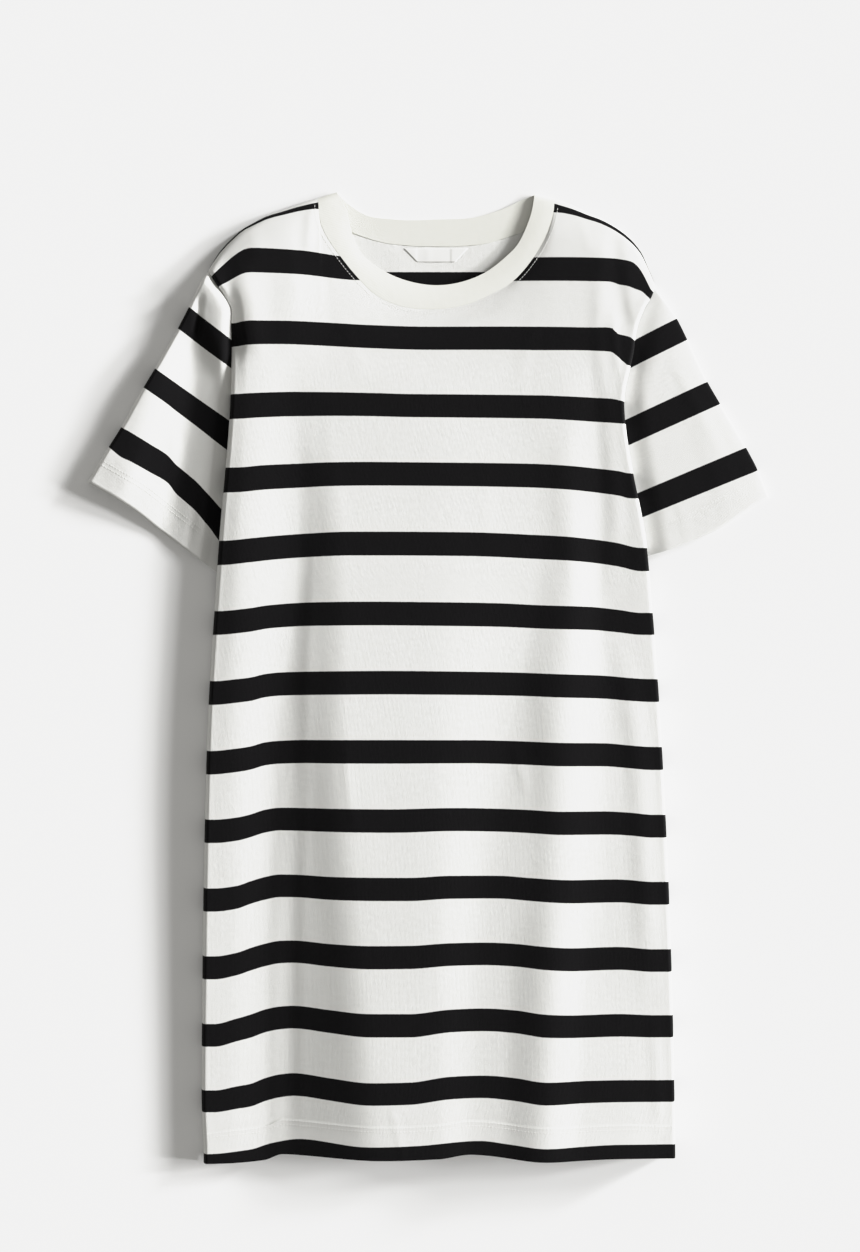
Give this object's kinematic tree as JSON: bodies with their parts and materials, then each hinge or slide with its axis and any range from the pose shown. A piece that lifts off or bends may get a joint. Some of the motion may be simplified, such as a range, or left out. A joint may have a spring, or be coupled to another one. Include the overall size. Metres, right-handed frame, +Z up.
{
  "type": "t-shirt dress",
  "caption": "Short-sleeved T-shirt dress in striped cotton jersey with a rib neckband, laid out flat with its front upwards.",
  "frame": {"origin": "middle of the laid-out dress, on the surface it lies on", "axes": "+X to the right as the laid-out front is seen, +Y from the hem to the neck, +Z up from the surface"},
  "size_m": [0.6524, 0.9303, 0.0328],
  "materials": {
    "jersey": "matte cotton jersey, off-white with black stripes across",
    "rib": "matte off-white cotton rib",
    "label_tape": "smooth woven tape, blank"
  },
  "bodies": {
    "root": {"front_panel": "jersey", "back_panel": "jersey", "sleeve_left": "jersey", "sleeve_right": "jersey", "neckband": "rib", "neck_label": "label_tape"}
  },
  "joints": []
}
